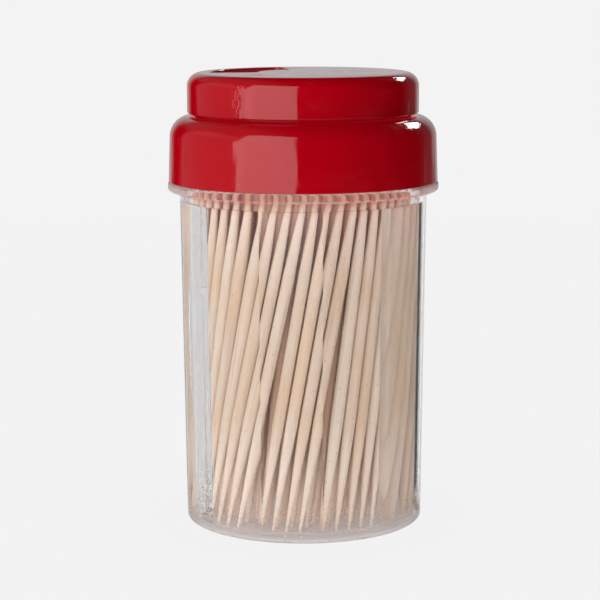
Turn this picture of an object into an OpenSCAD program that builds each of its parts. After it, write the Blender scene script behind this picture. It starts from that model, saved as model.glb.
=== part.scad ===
// Toothpick dispenser: a clear jar of toothpicks under a push-on collar with a turning dial.
// Millimetres. +Z is up, the origin is the centre of the jar's foot, and -Y is the front.

/* [Jar] */
// Draft of the jar's outer wall, in degrees
jar_draft = 0.75; // [0.25:0.05:1.5]
// Wall thickness at the corners of the twelve-sided cavity
jar_wall = 1.0; // [0.7:0.1:1.8]
// Thickness of the floor under the toothpicks
floor_t = 1.5; // [1.2:0.1:3]
// Rounding of the outer edge of the foot
foot_round = 0.8; // [0.3:0.1:1]
// Width of the ring that the jar stands on
foot_ring_w = 2; // [1.5:0.1:4]
// Depth of the shallow recess inside that ring
foot_recess = 0.5; // [0.2:0.1:0.8]
// Flats round the inside of the jar
flats = 12; // [8:1:12]
// Turn of the flats about Z, in degrees
flats_turn = 9; // [0:1:29]
// Thickness of the flange that the collar sits on
flange_t = 1.6; // [1:0.1:2.5]
// How far the flange stands out from the wall
flange_out = 2.1; // [1.8:0.1:3]
// Rounding of the flange's rim
flange_round = 0.5; // [0.2:0.1:0.7]
// Depth from the flange's underside to the ledge over the flats
ledge_drop = 1.7; // [0.5:0.1:4]
// Wall thickness of the neck inside the collar
neck_wall = 1.3; // [0.9:0.1:1.6]
// Rounding of the neck's upper outer edge
neck_round = 1.2; // [0.3:0.1:1.3]

/* [Collar] */
// Wall thickness of the collar at its lower edge
collar_wall = 1.62; // [1.5:0.01:3]
// Height of the collar from its lower edge to its shoulder
collar_h = 11.65; // [9:0.05:16]
// Draft of the collar's outer wall, in degrees
collar_draft = 1.9; // [0:0.1:2.5]
// Rounding between the collar's wall and its shoulder
shoulder_round = 3.75; // [2:0.25:4]
// Thickness of the collar's shoulder
shoulder_t = 1.3; // [1:0.1:2]
// Thickness of the deck that holds the toothpicks back
deck_t = 1.2; // [0.9:0.1:2]
// Wall thickness of the drum under the dial
drum_wall = 1.3; // [1:0.1:2]
// Diameter of the hole that lets out one toothpick
single_hole_d = 3.4; // [3:0.1:5]

/* [Dial] */
// How far the dial is set in from the collar's lower edge
dial_inset = 3.4; // [3:0.1:5]
// Height of the dial
dial_h = 7.2; // [6:0.1:12]
// Rounding of the dial's upper edge
dial_round = 2.4; // [1:0.1:3]
// Rounding of the dial's lower edge
dial_foot_round = 0.4; // [0.1:0.1:0.5]
// Wall thickness of the dial's skirt
dial_wall = 1.3; // [1:0.1:1.8]
// Thickness of the dial's top
dial_top_t = 1.4; // [1:0.1:2]
// Width of the window in the dial's top, from its inner arc to its outer arc
window_w = 8.4; // [5:0.1:10]
// Margin between the window and the drum's wall
window_margin = 1.2; // [0.5:0.1:3]
// Rounding of the window's corners
window_round = 1.2; // [0.5:0.1:2]
// Angle that the window spans, in degrees
window_span = 83; // [40:1:90]
// Direction of the window's middle, in degrees from +X
window_turn = 146.5; // [0:0.5:360]
// Radius of the stem that the dial turns on
stem_r = 2.5; // [2:0.1:4]
// How far the snap lip stands out from the stem
lip_out = 0.4; // [0.2:0.1:0.8]
// Height of the snap lip
lip_h = 1.2; // [0.8:0.1:2]
// Width of the slots that let the stem's prongs spring
stem_slot_w = 0.8; // [0.5:0.1:1.2]
// Depth of those slots, up from the stem's tip
stem_slot_h = 2.6; // [1.5:0.1:4]

/* [Toothpicks] */
// Length of a toothpick
pick_len = 65; // [50:1:80]
// Diameter of a toothpick
pick_d = 2; // [1.6:0.1:2.6]
// Length of the point at each end
point_len = 13; // [6:1:20]
// Diameter of a point's blunt tip
tip_d = 0.5; // [0.3:0.1:0.8]
// Average lean of the outer toothpicks, in degrees
lean_mean = 9.5; // [0:0.5:10]
// How much the lean swings round the jar, in degrees
lean_swing = 3; // [0:0.5:4]
// Direction in which the outer toothpicks lean the most, in degrees from +X
lean_peak = 190; // [0:5:360]
// How much the lean differs from one bundle to the next, in degrees
lean_scatter = 1.2; // [0:0.1:1.5]
// Number of toothpicks in a bundle of the same lean
bundle_count = 4; // [2:1:8]
// Room on each side of a toothpick of a ring
pick_gap = 0.13; // [0.1:0.01:0.5]
// Gap between two rings of toothpicks
ring_gap = 0.35; // [0.2:0.05:1]
// Gap between the outer toothpicks and the jar's flats
side_gap = 0.16; // [0.1:0.01:1]
// Toothpicks in the outer ring: the jar is as wide as they need
outer_picks = 49; // [30:1:50]

/* [Clearances] */
// Gap under the tips of the toothpicks
seat_gap = 0.1; // [0.05:0.05:0.5]
// Room between the tops of the toothpicks and the rim of the neck
head_room = 4.8; // [1:0.05:15]
// Gap between the rim of the neck and the underside of the shoulder
rim_gap = 0.3; // [0.1:0.05:1]
// Gap between the flange and the collar's lower edge
flange_gap = 0.05; // [0.02:0.01:0.3]
// Radial gap between the neck and the collar
neck_gap = 0.07; // [0.03:0.01:0.1]
// Gap between the shoulder and the dial's lower edge
dial_gap = 0.35; // [0.3:0.05:0.6]
// Gap between the deck and the dial's top, and between the drum and the skirt
deck_gap = 0.3; // [0.2:0.05:0.5]
// Radial gap between the stem and its bore
stem_gap = 0.06; // [0.03:0.01:0.1]
// Gap between the underside of the deck and the snap lip
lip_gap = 0.15; // [0.1:0.05:0.5]

/* [Hidden] */
$fn = 96;
past = 1; // how far a cut runs past what it cuts
arc_step = 5; // most degrees from one point of the window's outline to the next
clear_colour = [0.85, 0.87, 0.88, 0.35];
lid_colour = [0.72, 0.02, 0.07];
wood_colour = [0.87, 0.76, 0.62];

// Heights, from the floor up: the jar is as tall as its toothpicks need
picks_top_z = floor_t + seat_gap + pick_len;
rim_z = picks_top_z + head_room;
shoulder_z = rim_z + rim_gap + shoulder_t;
collar_z = shoulder_z - collar_h;
flange_z = collar_z - flange_gap;
ledge_z = flange_z - flange_t - ledge_drop;
dial_z = shoulder_z + dial_gap;
dial_top_z = dial_z + dial_h;
deck_z = dial_top_z - dial_top_t - deck_gap;
stem_tip_z = deck_z - deck_t - lip_gap - lip_h;

// Toothpicks: the rings stand inside one another, measured at the toothpicks' waists
pick_r = pick_d / 2;
tip_r = tip_d / 2;
body_half = pick_len / 2 - point_len;
ring_pitch = pick_d + ring_gap;
pick_pitch = pick_d / cos(lean_mean + lean_swing) + 2 * pick_gap;
outer_ring_r = pick_pitch / 2 / sin(180 / outer_picks);
ring_count = floor((outer_ring_r - pick_r) / ring_pitch) + 1;

// Foot radius of a jar whose flats clear a leaning toothpick at height z, where it is half away from its waist
function clear_foot_r(half, end_r, z) =
    let (reach = norm([outer_ring_r, half * sin(lean_mean + lean_swing + lean_scatter)]) + end_r + side_gap)
    (reach - half * sin(jar_draft)) / cos(180 / flats) + jar_wall - z * tan(jar_draft);

// Radii, from the toothpicks outwards
jar_foot_r = max(
    clear_foot_r(pick_len / 2, tip_r, floor_t),
    clear_foot_r(body_half, pick_r, floor_t + seat_gap + point_len));
function jar_r(z) = jar_foot_r + z * tan(jar_draft);
bore_r = jar_r(ledge_z) - jar_wall;
neck_r = bore_r + neck_wall;
hollow_r = neck_r + neck_gap;
collar_r = hollow_r + collar_wall;
dial_r = collar_r - dial_inset;
drum_r = dial_r - dial_wall - deck_gap;
window_out_r = drum_r - drum_wall - window_margin;
window_in_r = window_out_r - window_w;

// The deck has three stations, a third of a turn apart: closed, single hole and full window
station = 120;
full_turn = window_turn + station;
single_turn = window_turn - station;
hole_ring_r = (window_in_r + window_out_r) / 2;

function ring_r(ring) = outer_ring_r - (ring - 1) * ring_pitch;
function ring_share(ring) = ring == 1 ? 1 : ring_r(ring) / ring_r(1) * (ring % 2 == 0 ? 0.7 : 0.9);
function room_for(ring) = floor(180 / asin(pick_pitch / 2 / ring_r(ring)));
function ring_picks(ring) = ring == 1 ? outer_picks : room_for(ring);

// An even scatter from 0 to 1, the same each time
function scatter(i) = (i * 0.618034) % 1;

// Lean of one toothpick: it swings round the jar and steps from bundle to bundle
function lean(ring, i) =
    let (mid = (floor(i / bundle_count) + 0.5) * bundle_count * 360 / ring_picks(ring))
    let (step = lean_scatter * (2 * scatter(floor(i / bundle_count) + 3 * ring) - 1))
    ring_share(ring) * (lean_mean + lean_swing * cos(mid - lean_peak) + step);

// Arc that one toothpick takes up: where the lean changes, the next one stands off to clear it
function fan(ring, i) =
    body_half * abs(lean(ring, (i + 1) % ring_picks(ring)) - lean(ring, i)) * PI / 180;
function sum_of(values) = values * [for (v = values) 1];
function spare_arc(ring) =
    (2 * PI * ring_r(ring) - sum_of([for (i = [0:ring_picks(ring) - 1]) fan(ring, i)])) / ring_picks(ring);
function pick_turns(ring) =
    let (arc = spare_arc(ring), n = ring_picks(ring))
    [for (i = 0, at = 0; i < n; at = at + (arc + fan(ring, i)) * 180 / PI / ring_r(ring), i = i + 1) at];

outer_names = [for (i = [1:ring_picks(1)]) str("toothpick_", i)];
function ring_name(ring) = str("toothpicks_ring_", ring);

// A disc of radius r from z = low to z = high
module disc(r, low, high) {
    translate([0, 0, low]) cylinder(r = r, h = high - low);
}

// Half section of a drafted tier: its outer edge is rounded at the top and slants inwards by draft
module tier_section(foot_r, low, high, round, draft) {
    round_z = high - round;
    round_r = foot_r - (round_z - low) * tan(draft) - round / cos(draft);
    polygon([
        [0, low],
        [foot_r, low],
        [round_r + round * cos(draft), round_z + round * sin(draft)],
        [round_r, high],
        [0, high]
    ]);
    translate([round_r, round_z]) circle(r = round);
}

// Half section of a disc with both edges of its rim rounded
module rim_section(r, low, high, round) {
    translate([0, low]) square([r - round, high - low]);
    translate([0, low + round]) square([r, high - low - 2 * round]);
    translate([r - round, low + round]) circle(r = round);
    translate([r - round, high - round]) circle(r = round);
}

// Points on an arc from one angle to another, without its first and last ones if trim is 1
function spoke(r, turn) = r * [cos(turn), sin(turn)];
function arc(centre, r, from, to, trim = 0) =
    let (steps = ceil(abs(to - from) / arc_step))
    [for (k = [trim:steps - trim]) centre + spoke(r, from + k * (to - from) / steps)];

// Arc window with round corners, centred on +X
module window_outline() {
    half = window_span / 2;
    in_r = window_in_r + window_round;
    out_r = window_out_r - window_round;
    in_half = half - asin(window_round / in_r);
    out_half = half - asin(window_round / out_r);
    polygon(concat(
        arc([0, 0], window_out_r, -out_half, out_half, 1),
        arc(spoke(out_r, out_half), window_round, out_half, half + 90),
        arc(spoke(in_r, in_half), window_round, half + 90, in_half + 180),
        arc([0, 0], window_in_r, in_half, -in_half, 1),
        arc(spoke(in_r, -in_half), window_round, -in_half - 180, -half - 90),
        arc(spoke(out_r, -out_half), window_round, -half - 90, -out_half)));
}

module window_cut(turn, low, high) {
    translate([0, 0, low]) rotate(turn) linear_extrude(high - low) window_outline();
}

module jar_section() {
    wall_r = jar_r(flange_z - flange_t / 2);
    polygon([
        [0, 0],
        [jar_foot_r - foot_round, 0],
        [jar_r(foot_round), foot_round],
        [wall_r, flange_z - flange_t / 2],
        [0, flange_z - flange_t / 2]
    ]);
    translate([jar_foot_r - foot_round, foot_round]) circle(r = foot_round);
    rim_section(wall_r + flange_out, flange_z - flange_t, flange_z, flange_round);
    tier_section(neck_r, flange_z - flange_t / 2, rim_z, neck_round, 0);
}

module jar() {
    color(clear_colour) difference() {
        rotate_extrude() jar_section();
        rotate(flats_turn) translate([0, 0, floor_t])
            cylinder(
                r1 = jar_r(floor_t) - jar_wall,
                r2 = jar_r(ledge_z) - jar_wall,
                h = ledge_z - floor_t,
                $fn = flats);
        disc(bore_r, ledge_z, rim_z + past);
        disc(jar_foot_r - foot_round - foot_ring_w, -past, foot_recess);
    }
}

module lid_collar() {
    under_z = shoulder_z - shoulder_t;
    color(lid_colour) difference() {
        union() {
            rotate_extrude() tier_section(collar_r, collar_z, shoulder_z, shoulder_round, collar_draft);
            disc(drum_r, shoulder_z - shoulder_t / 2, deck_z);
        }
        rotate_extrude() tier_section(hollow_r, collar_z - past, under_z, neck_round + neck_gap, 0);
        disc(drum_r - drum_wall, under_z - past, deck_z - deck_t);
        disc(stem_r + stem_gap, deck_z - deck_t - past, deck_z + past);
        window_cut(full_turn, deck_z - deck_t - past, deck_z + past);
        rotate(single_turn) translate([hole_ring_r, 0, 0])
            disc(single_hole_d / 2, deck_z - deck_t - past, deck_z + past);
    }
}

// Stem with a snap lip at its tip, slotted into four prongs
module snap_stem() {
    lip_r = stem_r + lip_out;
    difference() {
        union() {
            disc(stem_r, stem_tip_z, dial_top_z - dial_top_t / 2);
            disc(lip_r, stem_tip_z + lip_h / 2, stem_tip_z + lip_h);
            translate([0, 0, stem_tip_z]) cylinder(r1 = stem_r - lip_out / 2, r2 = lip_r, h = lip_h / 2);
        }
        for (turn = [0, 90])
            rotate(turn) translate([-lip_r - past, -stem_slot_w / 2, stem_tip_z - past])
                cube([2 * (lip_r + past), stem_slot_w, stem_slot_h + past]);
    }
}

module lid_dial() {
    color(lid_colour) {
        difference() {
            rotate_extrude() difference() {
                tier_section(dial_r, dial_z, dial_top_z, dial_round, 0);
                translate([0, dial_z - past]) square([dial_r - dial_wall, dial_h - dial_top_t + past]);
                translate([dial_r - dial_foot_round, dial_z]) difference() {
                    translate([0, -past]) square([dial_foot_round + past, dial_foot_round + past]);
                    translate([0, dial_foot_round]) circle(r = dial_foot_round);
                }
            }
            window_cut(window_turn, dial_z, dial_top_z + past);
        }
        snap_stem();
    }
}

// One toothpick standing on its lower tip, along +Z
module toothpick() {
    color(wood_colour) {
        cylinder(r1 = tip_r, r2 = pick_r, h = point_len);
        disc(pick_r, point_len, pick_len - point_len);
        translate([0, 0, pick_len - point_len]) cylinder(r1 = pick_r, r2 = tip_r, h = point_len);
    }
}

// One toothpick in its place: it leans along the ring, and outwards as much as the wall does
module placed_toothpick(ring, i, turn) {
    tilt = lean(ring, i);
    half_rise = pick_len / 2 * cos(tilt) * cos(jar_draft) + tip_r * sin(abs(tilt));
    rotate(turn) translate([ring_r(ring), 0, floor_t + seat_gap + half_rise])
        rotate([-tilt, jar_draft, 0]) translate([0, 0, -pick_len / 2]) toothpick();
}

module ring_toothpick(ring, i) {
    placed_toothpick(ring, i, pick_turns(ring)[i]);
}

module toothpick_ring(ring) {
    turns = pick_turns(ring);
    for (i = [0:ring_picks(ring) - 1]) placed_toothpick(ring, i, turns[i]);
}

jar();
lid_collar();
lid_dial();
for (i = [0:ring_picks(1) - 1])
    ring_toothpick(1, i);
for (ring = [2:ring_count])
    toothpick_ring(ring);
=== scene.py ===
# Toothpick dispenser: the jar, its collar and dial, and the toothpicks, dressed round the frame.
from math import asin, cos, degrees, hypot, pi, radians, sin, tan

import bmesh
import bpy
import numpy as np
from mathutils import Matrix, Vector


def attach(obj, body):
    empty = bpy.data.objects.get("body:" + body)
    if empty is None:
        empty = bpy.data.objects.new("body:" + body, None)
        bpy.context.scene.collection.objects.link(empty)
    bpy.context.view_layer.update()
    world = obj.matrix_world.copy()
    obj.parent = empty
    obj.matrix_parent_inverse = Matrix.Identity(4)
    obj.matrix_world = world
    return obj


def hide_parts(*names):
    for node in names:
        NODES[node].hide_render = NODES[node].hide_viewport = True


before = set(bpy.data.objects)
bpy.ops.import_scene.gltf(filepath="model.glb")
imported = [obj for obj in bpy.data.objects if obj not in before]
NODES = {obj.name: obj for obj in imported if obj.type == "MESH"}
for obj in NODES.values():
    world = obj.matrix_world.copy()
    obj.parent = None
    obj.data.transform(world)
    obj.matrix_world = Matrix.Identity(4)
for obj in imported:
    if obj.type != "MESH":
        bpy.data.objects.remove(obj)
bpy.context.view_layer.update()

MM = 0.001
TURN = 360  # points round a turned piece: the jar's twelve corners fall on whole degrees
PICKS = sorted(n for n in NODES if n.startswith("toothpick"))

# Sizes of the pieces as the CAD has them, in millimetres and degrees
DRAFT = tan(radians(0.75))
FOOT_R, FOOT_ROUND, FOOT_RING, RECESS = 21.248, 0.8, 2.0, 0.5
FLOOR_Z, LEDGE_Z, RIM_Z = 1.5, 58.0, 71.4
WALL, NECK_WALL, NECK_ROUND = 1.0, 1.3, 1.2
FLATS, FLATS_TURN = 12, 9
FLANGE_LOW, FLANGE_TOP, FLANGE_OUT, FLANGE_ROUND = 59.7, 61.3, 2.1, 0.5
COLLAR_Z, SHOULDER_Z, SHOULDER_T, SHOULDER_ROUND = 61.35, 73.0, 1.3, 3.75
COLLAR_WALL, COLLAR_DRAFT, NECK_GAP = 1.62, radians(1.9), 0.07
DECK_Z, DECK_T, DRUM_WALL = 78.85, 1.2, 1.3
DIAL_Z, DIAL_TOP, DIAL_WALL, DIAL_TOP_T = 73.35, 80.55, 1.3, 1.4
DIAL_INSET, DIAL_ROUND, DIAL_FOOT_ROUND = 3.4, 2.4, 0.4
WINDOW_W, WINDOW_MARGIN, WINDOW_ROUND, WINDOW_SPAN, WINDOW_TURN = 8.4, 1.2, 1.2, 83, 146.5
HOLE_D, STEM_R, STEM_GAP, LIP_OUT, LIP_H, LIP_GAP = 3.4, 2.5, 0.06, 0.4, 1.2, 0.15
SLOT_W, SLOT_H, DECK_GAP = 0.8, 2.6, 0.3
STATION = 120  # degrees between the deck's stations

# The scene's own sizes, in millimetres
FACET = 0.012  # the CAD's faceted rim is this much inside its circle
EDGE = 0.18  # rounding of moulded edges that the CAD leaves sharp
STEM_SINK = 0.3  # how far the stem's stub reaches into the dial's top
WALL_START = 0.5  # how far over the foot's rounding the wall's first level lies

# Steps round a small edge, a rounding and a wide rounding, and levels up a wall
EDGE_STEPS, ROUND_STEPS, WIDE_STEPS, WALL_LEVELS = 3, 8, 16, 24
# Steps along the window's outer arc, inner arc and corners; points round a hole and a prong's arc
OUTER_STEPS, INNER_STEPS, CORNER_STEPS, HOLE_POINTS, PRONG_POINTS = 60, 36, 10, 48, 10


def jar_r(z):
    """The jar's outer radius at a height."""
    return FOOT_R + z * DRAFT


BORE_R = jar_r(LEDGE_Z) - WALL
NECK_R = BORE_R + NECK_WALL
HOLLOW_R = NECK_R + NECK_GAP
COLLAR_R = HOLLOW_R + COLLAR_WALL
DIAL_R = COLLAR_R - DIAL_INSET
DRUM_R = DIAL_R - DIAL_WALL - DECK_GAP
WINDOW_OUT = DRUM_R - DRUM_WALL - WINDOW_MARGIN
WINDOW_IN = WINDOW_OUT - WINDOW_W


# Node trees -------------------------------------------------------------------------------------

class Wire:
    """A node's output that takes Python's arithmetic."""

    def __init__(self, tree, socket):
        self.tree, self.socket = tree, socket

    def out(self, name):
        """Another output of the same node."""
        return Wire(self.tree, self.socket.node.outputs[name])

    def sum(self, operation, *values):
        """Any Math operation, on this output first."""
        return self.tree.add("ShaderNodeMath", {"operation": operation}, i=(self, *values))

    def __add__(self, other): return self.sum("ADD", other)
    def __sub__(self, other): return self.sum("SUBTRACT", other)
    def __mul__(self, other): return self.sum("MULTIPLY", other)
    def __truediv__(self, other): return self.sum("DIVIDE", other)
    def __pow__(self, other): return self.sum("POWER", other)
    __radd__, __rmul__ = __add__, __mul__

    def __rsub__(self, other):
        return self.tree.add("ShaderNodeMath", {"operation": "SUBTRACT"}, i=(other, self))


class Tree:
    """A node tree that is filled by add()."""

    def __init__(self, tree):
        self.tree = tree
        tree.nodes.clear()

    def put(self, socket, value):
        if isinstance(value, Wire):
            self.tree.links.new(value.socket, socket)
        elif isinstance(value, tuple) and len(socket.default_value) == 4 and len(value) == 3:
            socket.default_value = (*value, 1)
        else:
            socket.default_value = value

    def add(self, kind, settings=None, i=(), out=0, **sockets):
        """A node: its settings first, then its sockets by place (i) or by name, _ for a space."""
        node = self.tree.nodes.new(kind)
        for key, value in (settings or {}).items():
            setattr(node, key, value)
        for place, value in enumerate(i):
            if value is not None:
                self.put(node.inputs[place], value)
        for name, value in sockets.items():
            self.put(node.inputs[name.replace("_", " ")], value)
        return Wire(self, node.outputs[out]) if node.outputs else node

    def vector(self, operation, *values):
        return self.add("ShaderNodeVectorMath", {"operation": operation}, i=values)

    def mix(self, share, a, b):
        """Colour a where share is 0 and b where it is 1."""
        node = self.tree.nodes.new("ShaderNodeMix")
        node.data_type = "RGBA"
        for place, value in ((0, share), (6, a), (7, b)):
            self.put(node.inputs[place], value)
        return Wire(self, node.outputs[2])

    def smooth(self, value, low, high, to_low=0.0, to_high=1.0):
        """A smooth rise from to_low, where the value is low, to to_high, where it is high."""
        return self.add("ShaderNodeMapRange", {"interpolation_type": "SMOOTHSTEP"},
                        i=(value, low, high, to_low, to_high))

    def band(self, value, low_out, low_in, high_in, high_out):
        """1 between the two inner values and 0 beyond the outer ones."""
        return self.smooth(value, low_out, low_in) * self.smooth(value, high_out, high_in)

    def where(self):
        """The place on the piece in metres: the point, its x, its height, how far from the axis."""
        here = self.add("ShaderNodeTexCoord").out("Object")
        x = self.add("ShaderNodeSeparateXYZ", i=(here,))
        return here, x, x.out("Z"), self.vector("LENGTH", self.drawn(here, 0)).out("Value")

    def drawn(self, place, share):
        """The place with its height scaled: a share under 1 draws a pattern out up the piece."""
        return self.vector("MULTIPLY", place, (1, 1, share))

    def noise(self, place, scale, detail, roughness=0.5):
        """Noise whose scale counts its cells to a metre."""
        return self.add("ShaderNodeTexNoise", Vector=place, Scale=scale, Detail=detail,
                        Roughness=roughness)

    def specks(self, place, scale, size):
        """1 in small round spots, one to a cell of the pattern, and 0 elsewhere."""
        spots = self.add("ShaderNodeTexVoronoi", Vector=place, Scale=scale)
        return self.smooth(spots, size, size * 0.4) * self.smooth(spots.out("Color"), 0.62, 0.75)

    def bump(self, height, depth, strength=1.0, under=None):
        """Relief of a depth in metres, over the relief under it."""
        extra = {} if under is None else {"Normal": under}
        return self.add("ShaderNodeBump", Height=height, Distance=depth, Strength=strength, **extra)


def material(name):
    made = bpy.data.materials.new(name)
    made.use_nodes = True
    return made, Tree(made.node_tree)


# Finishes ---------------------------------------------------------------------------------------
# Colours are linear. Places are in metres: a pair is where a mask is 0 and where it is 1, and four
# are a band's outer and inner ends.

RED_DEEP, RED_BRIGHT = (0.335, 0.0002, 0.0048), (0.365, 0.0003, 0.0062)
# SKIRT_LIGHT, GROOVE_LIGHT and DECK_LIGHT are painted glow: emission that stands in for light
# through the plastic
RED_DUST, SKIRT_LIGHT = (0.75, 0.35, 0.33), (0.62, 0.012, 0.010)
GROOVE_LIGHT, DECK_LIGHT = (0.12, 0.001, 0.003), (0.05, 0.005, 0.009)
GROOVE_BAND, GROOVE_REACH = (0.07285, 0.07295, 0.0734, 0.0736), (0.0209, 0.0204)
DECK_BAND, DECK_REACH = (0.0786, 0.0788, 0.0803, 0.0804), (0.0190, 0.0188)
HOLLOW_REACH, HOLLOW_TOP = (0.02245, 0.02240), (0.0719, 0.0718)
UNDER_DECK_REACH, UNDER_DECK_TOP = (0.0178, 0.0177), (0.0778, 0.0777)
SHOULDER_LEVEL = (0.0731, 0.0729)
GATE_REACH, GATE_LEVEL = (0.0022, 0.0006), (0.0803, 0.0805)
PITTED_PLACE, PITTED_REACH = (-0.0112, -0.0173, 0.0383), (0.0018, 0.0008)  # its height is halved
RED_INDEX = 1.5


def red_gloss():
    """Glossy red moulded plastic: waves, scuffs, smears, dust, a gate mark, a pitted place and a
    painted glow.
    """
    made, t = material("red_gloss_plastic")
    here, _, level, from_axis = t.where()
    dust = t.specks(here, scale=520, size=0.055)
    base = t.mix(t.smooth(t.noise(here, 90, 2), 0.35, 0.7) * 0.5, RED_DEEP, RED_BRIGHT)
    base = t.mix(dust * 0.5, base, RED_DUST)

    on_collar = t.smooth(level, *SHOULDER_LEVEL)
    wave = t.noise(t.drawn(here, 0.35), 190, 1) * (on_collar * 3.2 + 1)
    ripple = t.noise(t.drawn(here, 0.05), 700, 1)
    gate_mark = t.smooth(from_axis, *GATE_REACH) * t.smooth(level, *GATE_LEVEL)
    scuff = hairlines(t, here, 0.5)
    halved = t.drawn(here, 0.5)
    pitted = t.smooth(t.vector("DISTANCE", halved, PITTED_PLACE).out("Value"), *PITTED_REACH)
    relief = t.bump(wave, 0.00005)
    relief = t.bump(ripple, 0.000022, under=relief)
    relief = t.bump(gate_mark, 0.00012, under=relief)
    relief = t.bump(scuff, 0.000005, 0.6, relief)
    relief = t.bump(t.noise(halved, 1500, 2) * pitted, 0.00035, under=relief)

    smear = t.smooth(t.noise(t.drawn(here, 2.5), 150, 4, 0.6), 0.5, 0.75)
    gloss = t.smooth(t.noise(here, 700, 3), 0.3, 0.8, 0.055, 0.1)
    gloss = gloss + smear * 0.12 + scuff * 0.12 + dust * 0.4

    # Painted glow, which stands in for light through the red plastic: in the groove, on the deck
    # and inside the lid
    groove = t.band(level, *GROOVE_BAND) * t.smooth(from_axis, *GROOVE_REACH)
    deck = t.band(level, *DECK_BAND) * t.smooth(from_axis, *DECK_REACH)
    hollow = t.smooth(from_axis, *HOLLOW_REACH) * t.smooth(level, *HOLLOW_TOP)
    under_deck = t.smooth(level, *UNDER_DECK_TOP) * t.smooth(from_axis, *UNDER_DECK_REACH)
    glow = t.mix(groove, (0.0, 0.0, 0.0), GROOVE_LIGHT)
    glow = t.mix(deck, glow, DECK_LIGHT)
    glow = t.mix(hollow.sum("MAXIMUM", under_deck), glow, SKIRT_LIGHT)
    shader = t.add("ShaderNodeBsdfPrincipled", Base_Color=base, Roughness=gloss, IOR=RED_INDEX,
                   Normal=relief, Emission_Color=glow, Emission_Strength=1.0)
    t.add("ShaderNodeOutputMaterial", Surface=shader)
    return made


# Turn, and how close the lines lie along each axis, of three sets of scuffs
SCUFFS = ((0.3, (60, 5200, 400)), (1.4, (4600, 120, 500)), (2.5, (160, 420, 5000)))


def hairlines(t, place, amount):
    """Fine short scuff lines in three directions."""
    lines = None
    for turn, closeness in SCUFFS:
        turned = t.add("ShaderNodeMapping",
                       i=(place, (0, 0, 0), (turn, turn * 0.7, turn), closeness))
        line = t.smooth(t.noise(turned, 1.0, 1, 0.4), 0.735, 0.80)
        lines = line if lines is None else lines + line
    return lines * amount


STYRENE_INDEX = 1.42  # real styrene's is 1.59; with this the flats look as in the photo
STYRENE, STYRENE_SHADOW, BACK_LIT = (0.975, 0.975, 0.975), (0.96, 0.96, 0.965), (0.90, 0.88, 0.88)
# The floor colours on the next line paint the shaded toothpicks seen through the jar's floor
FOOT_MILK, FLOOR_PAINTED_SHADE, FLOOR_PALE = (0.69, 0.69, 0.72), (0.62, 0.43, 0.34), (0.92, 0.74, 0.62)
# The first two colours on the next line are a painted reflection of the red lid on the neck; the
# third is a painted highlight on the flange
LID_REFLECTION_DARK, LID_REFLECTION_PALE, LIP_HIGHLIGHT = (0.66, 0.12, 0.10), (0.82, 0.55, 0.50), (0.95, 0.92, 0.92)
SPECKLE_DARK, SPECKLE_PALE = (0.30, 0.18, 0.14), (0.86, 0.77, 0.70)
MOTE, FOOT_DASH_DARK = (0.92, 0.82, 0.72), (0.16, 0.11, 0.12)
FOOT_LEVEL, NEAR_FLOOR, MARK_LEVEL = (0.0026, 0.0009), (0.014, 0.003), (0.0007, 0.0005)
FLOOR_BAND, FLOOR_REACH = (0.0012, 0.0014, 0.0016, 0.0018), (0.0202, 0.0196)
SPECKLE_BAND = (0.0020, 0.0026, 0.003, 0.011)
LID_REFLECTION_LEVEL, LID_REFLECTION_END = (0.0586, 0.0592), (0.0625, 0.0612)
# Where the painted highlights on the flange lie
SIDE_REACH, LIP_REACH = (0.0192, 0.0225), (0.0222, 0.0226)
LIP_LOW, LIP_HIGH = (0.0602, 0.0599), (0.0610, 0.0612)


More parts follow.
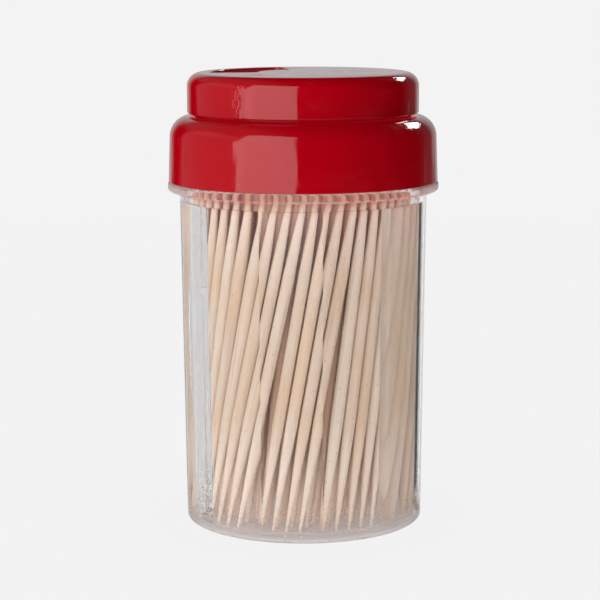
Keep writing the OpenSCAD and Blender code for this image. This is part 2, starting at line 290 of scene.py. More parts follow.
def clear_styrene():
    """Clear moulded plastic, wavy, scuffed and hazy in places, with painted reflection, shade and
    highlights; it lets lamps through unbent.
    """
    made, t = material("clear_styrene")
    here, x, level, from_axis = t.where()
    relief = t.bump(t.noise(t.drawn(here, 0.2), 120, 1), 0.00004)
    gloss = hairlines(t, here, 0.6) * 0.08 + 0.012

    # Where the haze, the painted reflection, shade and highlights, and the specks lie
    foot = t.smooth(level, *FOOT_LEVEL)
    inside_floor = t.band(level, *FLOOR_BAND) * t.smooth(from_axis, *FLOOR_REACH)
    top = t.smooth(level, *LID_REFLECTION_LEVEL)
    motes = t.specks(here, scale=1000, size=0.17) * (t.smooth(level, *NEAR_FLOOR) * 0.5 + 0.5)
    dashes = t.smooth(t.noise(t.drawn(here, 0.4), 900, 2), 0.4, 0.6)
    floor_specks = t.smooth(t.noise(here, 2200, 2), 0.5, 0.6)
    lip = t.smooth(from_axis, *LIP_REACH)
    # Painted highlights: pale haze along the flange's upper and lower edges and at its left and
    # right ends
    lip_end_sheen = lip * t.smooth(x.sum("ABSOLUTE"), *SIDE_REACH)
    edges = lip * (t.smooth(level, *LIP_LOW) + t.smooth(level, *LIP_HIGH))
    # Dark and pale speckle low on the wall, just above the floor
    speckle_noise = t.noise(here, 2300, 3)
    low_speckle = t.smooth(speckle_noise, 0.50, 0.56) * t.band(level, *SPECKLE_BAND)
    # Painted dark dashes along the foot's lowest edge, standing in for the toothpicks' ends seen
    # through the base
    foot_dashes = t.smooth(t.noise(t.drawn(here, 0.3), 1300, 2), 0.56, 0.64)
    foot_dashes = foot_dashes * t.smooth(level, *MARK_LEVEL)

    # Its colours
    # Painted: the jar's inside floor is brown with pale specks, standing in for the shaded
    # toothpicks seen through it
    milk = t.mix(inside_floor, FOOT_MILK, FLOOR_PAINTED_SHADE)
    milk = t.mix(inside_floor * floor_specks, milk, FLOOR_PALE)
    # Painted reflection of the red lid: reddish streaks on the neck under the collar
    milk = t.mix(top, milk, t.mix(dashes, LID_REFLECTION_DARK, LID_REFLECTION_PALE))
    milk = t.mix(edges + lip_end_sheen, milk, LIP_HIGHLIGHT)
    milk = t.mix(low_speckle, milk, t.mix(t.smooth(speckle_noise, 0.56, 0.64), SPECKLE_DARK, SPECKLE_PALE))
    milk = t.mix(motes, milk, MOTE)
    milk = t.mix(foot_dashes, milk, FOOT_DASH_DARK)

    # How much of it there is
    haze = foot * 0.58 + inside_floor * 0.3 + top * 0.11 * t.smooth(level, *LID_REFLECTION_END)
    haze = haze + edges * (dashes * 0.3 + 0.06) + motes * 0.6 + 0.015
    haze = haze + lip_end_sheen * 0.75 + foot_dashes * 0.3 + low_speckle * 0.09

    surface = t.add("ShaderNodeBsdfPrincipled", Base_Color=milk, Roughness=0.7, IOR=STYRENE_INDEX,
                    Normal=relief)
    back_lit = t.add("ShaderNodeBsdfTranslucent", Color=BACK_LIT)
    cloud = t.add("ShaderNodeMixShader", i=(0.5, surface, back_lit))
    shader = t.add("ShaderNodeBsdfPrincipled", Base_Color=STYRENE, Roughness=gloss,
                   IOR=STYRENE_INDEX, Transmission_Weight=1.0, Normal=relief)
    through = t.add("ShaderNodeBsdfTransparent", Color=STYRENE_SHADOW)
    to_lamp = t.add("ShaderNodeLightPath").out("Is Shadow Ray")
    clear = t.add("ShaderNodeMixShader", i=(to_lamp, shader, through))
    t.add("ShaderNodeOutputMaterial", Surface=t.add("ShaderNodeMixShader", i=(haze, clear, cloud)))
    return made


WOOD_DARK, WOOD_PALE, WOOD_CLOUD = (0.74, 0.62, 0.50), (0.82, 0.725, 0.635), (0.78, 0.56, 0.37)
FIBRE, STREAK, CUT_END_AND_LIGHT = (0.60, 0.44, 0.32), (0.50, 0.32, 0.21), (0.94, 0.84, 0.76)
# INNER_SHADE is painted shade deeper in the jar; the colour after it is painted red light from the
# collar
INNER_SHADE, COLLAR_RED_LIGHT = (0.63, 0.38, 0.25), (0.70, 0.36, 0.27)
INNER_REACH, COLLAR_BAND = (0.0186, 0.0166), (0.0565, 0.0595, 0.0615, 0.0630)
TONE_SHIFT = (3.1, 7.7, 5.3)  # carries each toothpick to its own part of the patterns


def toothpick_wood():
    """Bare pale wood: a tone for each toothpick, fibres along it, a few darker streaks, and painted
    light and shade.
    """
    made, t = material("toothpick_wood")
    grain = t.add("ShaderNodeAttribute", {"attribute_name": "grain"}, out="Vector")
    tone = t.add("ShaderNodeAttribute", {"attribute_name": "tone"}, out="Fac")
    _, _, level, from_axis = t.where()
    shift = t.add("ShaderNodeCombineXYZ", i=[tone * far for far in TONE_SHIFT])
    place = t.vector("ADD", grain, shift)
    along = t.drawn(place, 0.035)
    fibre = t.noise(along, 2600, 3, 0.6)
    streak = t.smooth(t.noise(along, 900, 2), 0.58, 0.72)
    cloud = t.smooth(t.noise(place, 60, 2), 0.42, 0.7)
    to_end = t.add("ShaderNodeSeparateXYZ", i=(grain,)).out("Z").sum("ABSOLUTE")
    # Paler towards both ends: partly the cut wood's own paleness, partly painted light on the low
    # and high toothpicks
    end = t.smooth(to_end, 0.010, 0.026)

    # Painted shade: deeper in, the wood is painted browner, less so near the floor and the collar
    less_shade = (t.smooth(level, 0.024, 0.008) * 0.75, t.smooth(level, 0.048, 0.060) * 0.5,
            t.smooth(level, 0.0615, 0.063) * 0.4)
    inner = t.smooth(from_axis, *INNER_REACH) * (1 - less_shade[0] - less_shade[1] - less_shade[2])
    # Painted red light from the collar on the toothpicks just under it
    red_light_band = t.band(level, *COLLAR_BAND)

    base = t.mix(tone, WOOD_DARK, WOOD_PALE)
    for share, colour in ((cloud * 0.55, WOOD_CLOUD), (t.smooth(fibre, 0.45, 0.75) * 0.4, FIBRE),
                          (streak * 0.25, STREAK), (end * (1 - red_light_band) * 0.75, CUT_END_AND_LIGHT),
                          (inner * 0.7, INNER_SHADE), (red_light_band * 0.35, COLLAR_RED_LIGHT)):
        base = t.mix(share, base, colour)
    shader = t.add("ShaderNodeBsdfPrincipled", Base_Color=base, IOR=1.45, Specular_IOR_Level=0.3,
                   Roughness=t.smooth(fibre, 0.3, 0.7, 0.55, 0.72),
                   Normal=t.bump(fibre, 0.00006, 0.7))
    t.add("ShaderNodeOutputMaterial", Surface=shader)
    return made


# Shapes -----------------------------------------------------------------------------------------

SAME_PLACE, SAME_Z = 1e-7, 1e-9  # metres within which points or levels count as one


def piece_from(bm, name, finish, sharp=24):
    """A finished piece of the mesh: doubles merged, faces outwards, smooth but for sharp edges."""
    bmesh.ops.remove_doubles(bm, verts=bm.verts, dist=SAME_PLACE)
    bmesh.ops.recalc_face_normals(bm, faces=bm.faces)
    mesh = bpy.data.meshes.new(name)
    bm.to_mesh(mesh)
    bm.free()
    mesh.shade_smooth()
    mesh.set_sharp_from_angle(angle=radians(sharp))
    mesh.materials.append(finish)
    made = bpy.data.objects.new(name, mesh)
    bpy.context.scene.collection.objects.link(made)
    return made


def bend(centre, r, start, end, steps=6):
    """Points on a rounding of a profile, between two directions in degrees."""
    return [(centre[0] + r * cos(radians(a)), centre[1] + r * sin(radians(a)))
            for a in np.linspace(start, end, steps + 1)]


def turned_loop(bm, r, z):
    """A level ring of vertices: r is a radius, or one for each degree."""
    radii = np.broadcast_to(np.asarray(r, float), (TURN,))
    return [bm.verts.new((radii[k] * cos(radians(k)) * MM, radii[k] * sin(radians(k)) * MM,
                          z * MM)) for k in range(TURN)]


def skin(bm, lower, upper):
    """A closed strip of faces between two loops of as many vertices."""
    for k in range(len(lower)):
        j = (k + 1) % len(lower)
        bm.faces.new((lower[k], lower[j], upper[j], upper[k]))


def turn(bm, profile):
    """Turns a profile of (radius, height) about the axis; a radius of 0 closes it at a pole."""
    last = None
    for r, z in profile:
        pole = np.isscalar(r) and r == 0
        now = bm.verts.new((0, 0, z * MM)) if pole else turned_loop(bm, r, z)
        if isinstance(last, list) and isinstance(now, list):
            skin(bm, last, now)
        elif last is not None:
            tip, ring = (last, now) if isinstance(now, list) else (now, last)
            for k in range(TURN):
                bm.faces.new((tip, ring[k], ring[(k + 1) % TURN]))
        last = now


def loop_of(bm, points, z):
    return [bm.verts.new((x * MM, y * MM, z * MM)) for x, y in points]


def circle_points(r, centre=(0, 0), count=TURN):
    return [(centre[0] + r * cos(2 * pi * k / count),
             centre[1] + r * sin(2 * pi * k / count)) for k in range(count)]


def window_points(turn_deg, grow):
    """The arc window's outline, grown outwards by grow."""
    half = radians(WINDOW_SPAN / 2)
    inner, outer = WINDOW_IN + WINDOW_ROUND, WINDOW_OUT - WINDOW_ROUND
    in_half, out_half = half - asin(WINDOW_ROUND / inner), half - asin(WINDOW_ROUND / outer)
    r = WINDOW_ROUND + grow
    points = []

    def arc(centre, radius, start, end, steps, trim=0):
        for k in range(trim, steps + 1 - trim):
            a = start + k * (end - start) / steps
            points.append((centre[0] + radius * cos(a), centre[1] + radius * sin(a)))

    def spoke(radius, angle):
        return (radius * cos(angle), radius * sin(angle))

    side = half + pi / 2
    arc((0, 0), WINDOW_OUT + grow, -out_half, out_half, OUTER_STEPS, 1)
    arc(spoke(outer, out_half), r, out_half, side, CORNER_STEPS)
    arc(spoke(inner, in_half), r, side, in_half + pi, CORNER_STEPS)
    arc((0, 0), WINDOW_IN - grow, in_half, -in_half, INNER_STEPS, 1)
    arc(spoke(inner, -in_half), r, -in_half - pi, -side, CORNER_STEPS)
    arc(spoke(outer, -out_half), r, -side, -out_half, CORNER_STEPS)
    c, s = cos(radians(turn_deg)), sin(radians(turn_deg))
    return [(c * x - s * y, s * x + c * y) for x, y in points]


def plate(bm, rim_r, low, high, holes):
    """A level plate out to rim_r. A hole, whose edges are rounded, gives its outline grown."""
    flats = {low: [circle_points(rim_r)], high: [circle_points(rim_r)]}
    for hole in holes:
        stack = [(hole(EDGE), low)]
        stack += [(hole(EDGE * (1 - sin(a))), low + EDGE * (1 - cos(a)))
                  for a in (pi / 6, pi / 3, pi / 2)]
        stack += [(hole(EDGE * (1 - cos(a))), high - EDGE * (1 - sin(a)))
                  for a in (0, pi / 6, pi / 3)]
        stack += [(hole(EDGE), high)]
        loops = [loop_of(bm, points, z) for points, z in stack]
        for a, b in zip(loops, loops[1:]):
            skin(bm, a, b)
        flats[low].append(hole(EDGE))
        flats[high].append(hole(EDGE))
    for z, outlines in flats.items():
        edges = []
        for points in outlines:
            ring = loop_of(bm, points, z)
            edges += [bm.edges.new((a, b)) for a, b in zip(ring, ring[1:] + ring[:1])]
        bmesh.ops.triangle_fill(bm, use_beauty=True, edges=edges,
                                normal=(0, 0, 1 if z == high else -1))


def drilled(radius, centre=(0, 0)):
    return lambda grow: circle_points(radius + grow, centre, HOLE_POINTS)


def windowed(turn_deg):
    return lambda grow: window_points(turn_deg, grow)


# The jar ----------------------------------------------------------------------------------------

def flats_r(z):
    """Radius of the twelve-sided cavity at each degree round."""
    apothem = (jar_r(z) - WALL) * cos(pi / FLATS)
    step = 360 / FLATS
    return [apothem / cos(radians((k - FLATS_TURN) % step - step / 2)) for k in range(TURN)]


def build_jar(finish):
    bm = bmesh.new()
    ring_in = FOOT_R - FOOT_ROUND - FOOT_RING
    rim_r = jar_r((FLANGE_LOW + FLANGE_TOP) / 2) + FLANGE_OUT - FACET
    wall_top = jar_r(FLANGE_LOW)
    profile = [(0, RECESS), (ring_in - EDGE, RECESS)]
    profile += bend((ring_in - EDGE, RECESS - EDGE), EDGE, 90, 0, EDGE_STEPS)
    profile += bend((ring_in + EDGE, EDGE), EDGE, 180, 270, EDGE_STEPS)
    profile += bend((FOOT_R - FOOT_ROUND, FOOT_ROUND), FOOT_ROUND, -90, 0, ROUND_STEPS)
    profile += [(jar_r(z), z)
                for z in np.linspace(FOOT_ROUND + WALL_START, FLANGE_LOW - EDGE, WALL_LEVELS)]
    profile += bend((wall_top + EDGE, FLANGE_LOW - EDGE), EDGE, 180, 90, EDGE_STEPS)
    profile += bend((rim_r - FLANGE_ROUND, FLANGE_LOW + FLANGE_ROUND), FLANGE_ROUND, -90, 0)
    profile += bend((rim_r - FLANGE_ROUND, FLANGE_TOP - FLANGE_ROUND), FLANGE_ROUND, 0, 90)
    profile += bend((NECK_R + EDGE, FLANGE_TOP + EDGE), EDGE, 270, 180, EDGE_STEPS)
    profile += bend((NECK_R - NECK_ROUND, RIM_Z - NECK_ROUND), NECK_ROUND, 0, 90, ROUND_STEPS)
    profile += [(BORE_R, RIM_Z), (BORE_R, LEDGE_Z)]
    profile += [(flats_r(z), z) for z in np.linspace(LEDGE_Z, FLOOR_Z, WALL_LEVELS)]
    profile += [(0, FLOOR_Z)]
    turn(bm, profile)
    jar = piece_from(bm, "jar_shell", finish)
    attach(jar, "jar")
    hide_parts("jar")
    return jar


# The lid ----------------------------------------------------------------------------------------

def build_collar(finish):
    bm = bmesh.new()
    under = SHOULDER_Z - SHOULDER_T
    round_z = SHOULDER_Z - SHOULDER_ROUND
    round_r = COLLAR_R - (round_z - COLLAR_Z) * tan(COLLAR_DRAFT)
    round_r = round_r - SHOULDER_ROUND / cos(COLLAR_DRAFT)
    drum_in = DRUM_R - DRUM_WALL
    hollow_round = NECK_ROUND + NECK_GAP
    draft = degrees(COLLAR_DRAFT)
    outside = bend((HOLLOW_R + EDGE, COLLAR_Z + EDGE), EDGE, 180, 270, EDGE_STEPS)
    outside += bend((COLLAR_R - EDGE, COLLAR_Z + EDGE), EDGE, -90, draft, EDGE_STEPS)
    outside += bend((round_r, round_z), SHOULDER_ROUND, draft, 90, WIDE_STEPS)
    outside += bend((DRUM_R + EDGE, SHOULDER_Z + EDGE), EDGE, 270, 180, EDGE_STEPS)
    outside += bend((DRUM_R - 2 * EDGE, DECK_Z - 2 * EDGE), 2 * EDGE, 0, 90, EDGE_STEPS + 1)
    inside = [(drum_in, DECK_Z - DECK_T), (drum_in, under)]
    inside += bend((HOLLOW_R - hollow_round, under - hollow_round), hollow_round, 90, 0)
    inside += [outside[0]]
    turn(bm, outside)
    turn(bm, inside)
    station = radians(WINDOW_TURN - STATION)
    reach = (WINDOW_IN + WINDOW_OUT) / 2
    holes = [windowed(WINDOW_TURN + STATION),
             drilled(HOLE_D / 2, (reach * cos(station), reach * sin(station))),
             drilled(STEM_R + STEM_GAP)]
    plate(bm, DRUM_R - 2 * EDGE, DECK_Z - DECK_T, DECK_Z, holes)
    collar = piece_from(bm, "collar_shell", finish)
    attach(collar, "collar")
    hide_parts("lid_collar")
    return collar


def build_dial(finish):
    bm = bmesh.new()
    skirt_in = DIAL_R - DIAL_WALL
    under = DIAL_TOP - DIAL_TOP_T
    foot_r, foot_z = DIAL_R - DIAL_FOOT_ROUND, DIAL_Z + DIAL_FOOT_ROUND
    profile = [(skirt_in, under)]
    profile += bend((skirt_in + EDGE, DIAL_Z + EDGE), EDGE, 180, 270, EDGE_STEPS)
    profile += bend((foot_r, foot_z), DIAL_FOOT_ROUND, -90, 0)
    profile += bend((DIAL_R - DIAL_ROUND, DIAL_TOP - DIAL_ROUND), DIAL_ROUND, 0, 90, WIDE_STEPS)
    turn(bm, profile)
    two_rim_plate(bm, skirt_in, DIAL_R - DIAL_ROUND, under, DIAL_TOP, [windowed(WINDOW_TURN)])
    add_stem(bm, under)
    dial = piece_from(bm, "dial_shell", finish)
    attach(dial, "dial")
    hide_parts("lid_dial")
    return dial


def two_rim_plate(bm, low_rim, high_rim, low, high, holes):
    """The dial's top: its underside reaches to the skirt and its upper side to the rounding."""
    part = bmesh.new()
    plate(part, high_rim, low, high, holes)
    for v in part.verts:  # the underside's rim moves out to the skirt
        r = hypot(v.co.x, v.co.y)
        if abs(v.co.z - low * MM) < SAME_Z and abs(r - high_rim * MM) < SAME_PLACE:
            v.co.x, v.co.y = v.co.x * low_rim / high_rim, v.co.y * low_rim / high_rim
    copy = bpy.data.meshes.new("dial_top")
    part.to_mesh(copy)
    part.free()
    bm.from_mesh(copy)
    bpy.data.meshes.remove(copy)


def add_stem(bm, under):
    """The snap stem under the dial: a stub that parts into four lipped prongs."""
    tip = DECK_Z - DECK_T - LIP_GAP - LIP_H
    lip = STEM_R + LIP_OUT
    slot_top = tip + SLOT_H
    half = SLOT_W / 2

    def section(r):
        """One prong's outline: two slot walls and an arc."""
        a = asin(half / r)
        arc = np.linspace(a, pi / 2 - a, PRONG_POINTS)
        return [(half, half)] + [(r * cos(t), r * sin(t)) for t in arc]

    sides = [(STEM_R - LIP_OUT / 2, tip), (lip, tip + LIP_H / 2), (lip, tip + LIP_H),
             (STEM_R, tip + LIP_H), (STEM_R, slot_top)]
    for quarter in range(4):
        c, s = cos(quarter * pi / 2), sin(quarter * pi / 2)
        loops = [loop_of(bm, [(c * x - s * y, s * x + c * y) for x, y in section(r)], z)
                 for r, z in sides]
        for a, b in zip(loops, loops[1:]):
            skin(bm, a, b)
        bm.faces.new(loops[0])
        bm.faces.new(loops[-1])
    stub = [loop_of(bm, circle_points(STEM_R, count=HOLE_POINTS), z)
            for z in (slot_top, under + STEM_SINK)]
    skin(bm, *stub)
    for ring in stub:
        bm.faces.new(ring)


# The toothpicks ---------------------------------------------------------------------------------

def solids_of(mesh):
    """Vertices of each solid in a node's mesh of loose triangles."""
    co = np.zeros(len(mesh.vertices) * 3)
    mesh.vertices.foreach_get("co", co)
    co = co.reshape(-1, 3)
    microns = np.round(co * 1e6).astype(np.int64)
    _, same = np.unique(microns, axis=0, return_inverse=True)
    same = same.reshape(-1)
    group = np.arange(same.max() + 1)
    corners = np.zeros(len(mesh.polygons) * 3, int)
    mesh.polygons.foreach_get("vertices", corners)
    triangles = same[corners].reshape(-1, 3)
    while True:  # each solid takes its lowest vertex's number
        low = group[triangles].min(1)
        new = group.copy()
        for k in range(3):
            np.minimum.at(new, triangles[:, k], low)
        new = new[new]
        if (new == group).all():
            break
        group = new
    label = group[same]
    return [co[label == g] for g in np.unique(label)]


AT_THE_END = 1e-5  # metres within which a point lies on a toothpick's end


def stands_of(nodes):
    """Middle, axis and length of each toothpick that the CAD nodes hold."""
    stands = []
    for name in nodes:
        for points in solids_of(NODES[name].data):
            middle = (points.min(0) + points.max(0)) / 2
            axis = np.linalg.svd(points - points.mean(0), full_matrices=False)[2][0]
            axis = axis if axis[2] > 0 else -axis
            along = (points - middle) @ axis
            low, high = (points[np.abs(along - end) < AT_THE_END].mean(0)
                         for end in (along.min(), along.max()))
            length = np.linalg.norm(high - low)
            stands.append(((low + high) / 2, (high - low) / length, length))
    return stands


CROWDING, FULLNESS = 1.6, 0.65  # how the spans crowd to the points, and how full the points are
SLIMMEST = 0.955  # of the thickness, for the slimmest toothpick


def toothpick_tree(name, finish):
    """Geometry nodes that stand a pointed stick on each vertex, along its axis attribute."""
    group = bpy.data.node_groups.new(name, "GeometryNodeTree")
    face = group.interface
    face.new_socket("Geometry", in_out="INPUT", socket_type="NodeSocketGeometry")
    for label, size in (("Length", 0.065), ("Thickness", 0.002), ("Tip", 0.0005), ("Point", 0.012)):
        face.new_socket(label, in_out="INPUT", socket_type="NodeSocketFloat").default_value = size
    for label, count in (("Sides", 16), ("Spans", 12), ("Seed", 4)):
        face.new_socket(label, in_out="INPUT", socket_type="NodeSocketInt").default_value = count
    face.new_socket("Geometry", in_out="OUTPUT", socket_type="NodeSocketGeometry")
    t = Tree(group)
    given = t.add("NodeGroupInput")
    length, thick, tip, point = (given.out(n) for n in ("Length", "Thickness", "Tip", "Point"))
    line = t.add("GeometryNodeCurvePrimitiveLine", Start=(0, 0, -1), End=(0, 0, 1))
    line = t.add("GeometryNodeResampleCurve", i=(line,), Count=given.out("Spans") + 1)
    share = t.add("GeometryNodeSplineParameter") * 2 - 1
    reach = 1 - (1 - share.sum("ABSOLUTE")) ** CROWDING
    height = share.sum("SIGN") * reach * length * 0.5
    to_tip = (1 - reach) * length * 0.5
    swell = (to_tip / point).sum("MINIMUM", 1.0)
    radius = (tip + (thick - tip) * (swell ** FULLNESS)) * 0.5
    level = t.add("ShaderNodeCombineXYZ", Z=height)
    line = t.add("GeometryNodeSetPosition", i=(line,), Position=level)
    ring = t.add("GeometryNodeCurvePrimitiveCircle", Radius=1.0, Resolution=given.out("Sides"))
    stick = t.add("GeometryNodeCurveToMesh", i=(line, ring), Scale=radius, Fill_Caps=True)
    place = t.add("GeometryNodeInputPosition")
    stick = t.add("GeometryNodeStoreNamedAttribute",
                  {"data_type": "FLOAT_VECTOR", "domain": "POINT"},
                  i=(stick,), Name="grain", Value=place)
    axis = t.add("GeometryNodeInputNamedAttribute", {"data_type": "FLOAT_VECTOR"}, Name="axis")

    def chance(low, high, seed):
        return t.add("FunctionNodeRandomValue", {"data_type": "FLOAT"}, out=1,
                     i=(None, None, low, high), Seed=seed)

    spin = chance(0.0, 2 * pi, given.out("Seed"))
    stance = t.add("FunctionNodeAlignRotationToVector", {"axis": "Z"}, Vector=axis)
    stance = t.add("FunctionNodeRotateRotation", {"rotation_space": "LOCAL"},
                   i=(stance, t.add("FunctionNodeAxisAngleToRotation", Axis=(0, 0, 1), Angle=spin)))
    slim = chance(SLIMMEST, 1.0, given.out("Seed") + 1)
    sticks = t.add("GeometryNodeInstanceOnPoints", i=(given,), Instance=stick, Rotation=stance,
                   Scale=t.add("ShaderNodeCombineXYZ", X=slim, Y=slim, Z=1.0))
    tone = chance(0.0, 1.0, given.out("Seed") + 2)
    sticks = t.add("GeometryNodeStoreNamedAttribute", {"data_type": "FLOAT", "domain": "INSTANCE"},
                   i=(sticks,), Name="tone", Value=tone)
    sticks = t.add("GeometryNodeRealizeInstances", i=(sticks,))
    sticks = t.add("GeometryNodeSetMaterial", i=(sticks,), Material=finish)
    t.add("NodeGroupOutput", i=(sticks,))
    return group


def build_toothpicks(name, nodes, finish, **counts):
    """One piece of all the toothpicks in the nodes, each on the axis that the CAD gives it."""
    stands = stands_of(nodes)
    mesh = bpy.data.meshes.new(name + "_stands")
    mesh.from_pydata([tuple(s[0]) for s in stands], [], [])
    mesh.attributes.new("axis", "FLOAT_VECTOR", "POINT").data.foreach_set(
        "vector", np.concatenate([s[1] for s in stands]).astype(np.float32))
    source = bpy.data.objects.new(name + "_stands", mesh)
    bpy.context.scene.collection.objects.link(source)
    tree = toothpick_tree(name + "_tree", finish)
    modifier = source.modifiers.new("toothpicks", "NODES")
    modifier.node_group = tree
    ids = {s.name: s.identifier for s in tree.interface.items_tree if s.in_out == "INPUT"}
    modifier[ids["Length"]] = float(np.mean([s[2] for s in stands]))
    for label, count in counts.items():
        modifier[ids[label]] = count
    evaluated = source.evaluated_get(bpy.context.evaluated_depsgraph_get())
    plain = bpy.data.meshes.new_from_object(evaluated)
    bpy.data.objects.remove(source)
    bm = bmesh.new()
    bm.from_mesh(plain)
    bpy.data.meshes.remove(plain)
    made = piece_from(bm, name, finish, sharp=50)
    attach(made, "jar")
    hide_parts(*nodes)
    return made


# The studio -------------------------------------------------------------------------------------

# The camera was fitted to the photo's outlines: radians, metres, and the focal length in pixels
PITCH, YAW, ROLL = 0.16186, -0.0017, -0.00294
EYE, SENSOR, FRAME, FOCAL = (0, -0.3732, 0.1005), 36, 600, 2095.7
LAMPS_AIM = (0, 0, 0.06)
PALE = 0.8963  # the photo's pale ground, linear


def camera():
    forward = Vector((sin(YAW) * cos(PITCH), cos(YAW) * cos(PITCH), -sin(PITCH)))
    level = Vector((cos(YAW), -sin(YAW), 0))
    upright = level.cross(forward)
    right = level * cos(ROLL) + upright * sin(ROLL)
    up = upright * cos(ROLL) - level * sin(ROLL)
    data = bpy.data.cameras.new("camera")
    data.sensor_width, data.lens = SENSOR, FOCAL * SENSOR / FRAME
    data.clip_start, data.clip_end = 0.01, 50
    eye = bpy.data.objects.new("camera", data)
    place = Matrix((right, up, -forward)).transposed().to_4x4()
    place.translation = EYE
    eye.matrix_world = place
    bpy.context.scene.collection.objects.link(eye)
    bpy.context.scene.camera = eye


def lamp(name, turn_deg, rise_deg, away, size, glow, lit, seen=True, upright=False):
    """A softbox for the lit pieces alone. It faces the lid or, upright, the axis.

    turn_deg goes from the camera's side towards +X. One that isn't seen makes no reflection.
    """
    data = bpy.data.lights.new(name, "AREA")
    data.shape, data.size, data.size_y = "RECTANGLE", *size
    data.energy = glow * pi * size[0] * size[1]
    box = bpy.data.objects.new(name, data)
    a, e = radians(turn_deg), radians(rise_deg)
    towards = Vector((sin(a) * cos(e), -cos(a) * cos(e), sin(e)))
    box.location = Vector(LAMPS_AIM) + towards * away
    facing = Vector((towards.x, towards.y, 0)) if upright else towards
    box.rotation_euler = facing.to_track_quat("Z", "Y").to_euler()
    box.visible_glossy = seen
    box.visible_camera = False
    bpy.context.scene.collection.objects.link(box)
    chosen = bpy.data.collections.new(name + "_lights")
    for piece in lit:
        chosen.objects.link(piece)
    box.light_linking.receiver_collection = chosen


def lamps(jar, lid, picks):
    below = (jar, *picks)
    lamp("key", -32.5, 13, 0.8, (0.80, 1.48), 2.0, lid, upright=True)
    lamp("left_fill", -48, 20, 0.9, (0.9, 0.9), 1.6, lid, seen=False)
    lamp("front_fill", 5, 30, 0.9, (0.9, 0.9), 0.25, lid, seen=False)
    lamp("right_fill", 75, 15, 0.9, (0.9, 0.9), 0.22, lid, seen=False)
    lamp("top_fill", -20, 80, 0.9, (0.6, 0.6), 0.6, lid, seen=False)
    lamp("jar_front", -10, 4, 0.9, (0.5, 0.5), 0.9, below, seen=False)
    lamp("jar_fill", -26, -3, 0.9, (1.4, 1.0), 0.50, below, seen=False)
    lamp("back_right", 142.5, 30, 0.9, (0.32, 0.13), 12, lid)
    lamp("right_strip", 127, -20, 0.9, (0.04, 0.5), 0.12, lid, upright=True)


# Light from round the jar, by direction: +X is right, +Y away from the photo's camera, +Z up
JAR_LEFT, JAR_RIGHT, JAR_EDGE = (0.66, 0.68, 0.70), (1.25, 1.24, 1.22), (0.36, 0.295, 0.245)
JAR_FRONT = (0.08, 0.08, 0.08)
WARM_LEFT, DARK_RIGHT, FROM_FLOOR = (0.90, 0.84, 0.79), (0.12, 0.11, 0.10), (1.9, 1.65, 1.5)


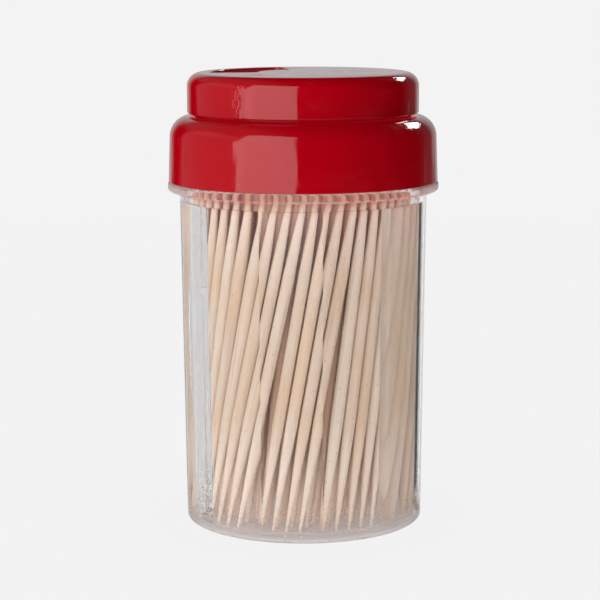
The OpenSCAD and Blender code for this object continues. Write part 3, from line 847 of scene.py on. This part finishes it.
def surroundings():
    """A pale ground for the camera, and others in reflections, through the jar and on the wood."""
    world = bpy.data.worlds.new("studio")
    bpy.context.scene.world = world
    world.use_nodes = True
    t = Tree(world.node_tree)
    x = t.add("ShaderNodeSeparateXYZ", i=(t.add("ShaderNodeTexCoord"),))
    y, z = x.out("Y"), x.out("Z")

    # In reflections: the back wall, the left wall, the right corner, the floor and a high left
    room = t.smooth(y, 0.80, 0.95) * 0.56 + t.smooth(x, -0.72, -0.82) * 0.27
    room = room + t.smooth(x, 0.3, 0.5) * t.smooth(y, 0.35, 0.7) * 0.09
    room = room + t.smooth(z, -0.3, -0.6) * 0.7
    room = room + t.smooth(x, -0.1, -0.5) * t.smooth(z, 0.25, 0.5) * 0.15
    room = t.add("ShaderNodeCombineXYZ", i=(room, room, room))

    # Through the jar: the left, the right, a dark right edge, the back and a dark front
    front = t.smooth(y, -0.1, -0.4) * t.smooth(z, -0.5, -0.3) * t.smooth(x, 0.5, 0.3)
    around = t.mix(t.smooth(x, 0.2, 0.5), JAR_LEFT, JAR_RIGHT)
    around = t.mix(t.smooth(x, 0.61, 0.67), around, JAR_EDGE)
    around = t.mix(t.smooth(y, 0.90, 0.97), around, (PALE, PALE, PALE))
    around = t.mix(front, around, JAR_FRONT)

    # On the wood in the jar: warm from the left, dark from the right and bright from the floor
    soft = t.mix(t.smooth(x, -0.2, 0.6), WARM_LEFT, DARK_RIGHT)
    soft = t.mix(t.smooth(z, -0.1, -0.5), soft, FROM_FLOOR)

    path = t.add("ShaderNodeLightPath")
    seen = path.out("Is Camera Ray")
    through = path.out("Transmission Depth").sum("GREATER_THAN", 0.5)
    bounced = path.out("Diffuse Depth").sum("GREATER_THAN", 0.5)
    glow = t.mix(through, room, t.mix(bounced, around, soft))
    glow = t.mix(seen, glow, (PALE, PALE, PALE))
    t.add("ShaderNodeOutputWorld", Surface=t.add("ShaderNodeBackground", Color=glow, Strength=1.0))


FLOOR_SHADE, FLOOR_OWN = (0.02, 0.05), (0.98, 0.997)  # metres out, and its own light's share there


def pale_floor():
    """A floor that glows like the ground behind it and takes a faint shade by the jar."""
    made, t = material("pale_floor")
    reach = t.vector("LENGTH", t.add("ShaderNodeTexCoord", out="Object")).out("Value")
    matt = t.add("ShaderNodeBsdfDiffuse", Color=(0.85, 0.85, 0.85))
    own = t.add("ShaderNodeEmission", Color=(1, 1, 1), Strength=PALE)
    even = t.smooth(reach, *FLOOR_SHADE, *FLOOR_OWN)
    t.add("ShaderNodeOutputMaterial", Surface=t.add("ShaderNodeMixShader", i=(even, matt, own)))
    bm = bmesh.new()
    bmesh.ops.create_circle(bm, cap_ends=True, radius=0.45, segments=96)
    floor = piece_from(bm, "floor", made)
    if floor.data.polygons[0].normal.z < 0:
        floor.data.flip_normals()
    floor.visible_glossy = floor.visible_transmission = floor.visible_shadow = False


def light_settings():
    scene = bpy.context.scene
    scene.view_settings.view_transform = "Standard"
    scene.cycles.use_denoising = True
    scene.cycles.max_bounces, scene.cycles.transmission_bounces = 24, 20
    scene.cycles.glossy_bounces, scene.cycles.diffuse_bounces = 8, 4
    scene.cycles.sample_clamp_indirect = 6


red, clear, wood = red_gloss(), clear_styrene(), toothpick_wood()
jar = build_jar(clear)
lid = (build_collar(red), build_dial(red))
picks = (build_toothpicks("toothpicks_outer", [n for n in PICKS if "ring" not in n], wood,
                          Sides=16, Spans=14, Seed=4),
         build_toothpicks("toothpicks_inner", [n for n in PICKS if "ring" in n], wood,
                          Sides=10, Spans=8, Seed=9))
camera()
light_settings()
surroundings()
pale_floor()
lamps(jar, lid, picks)
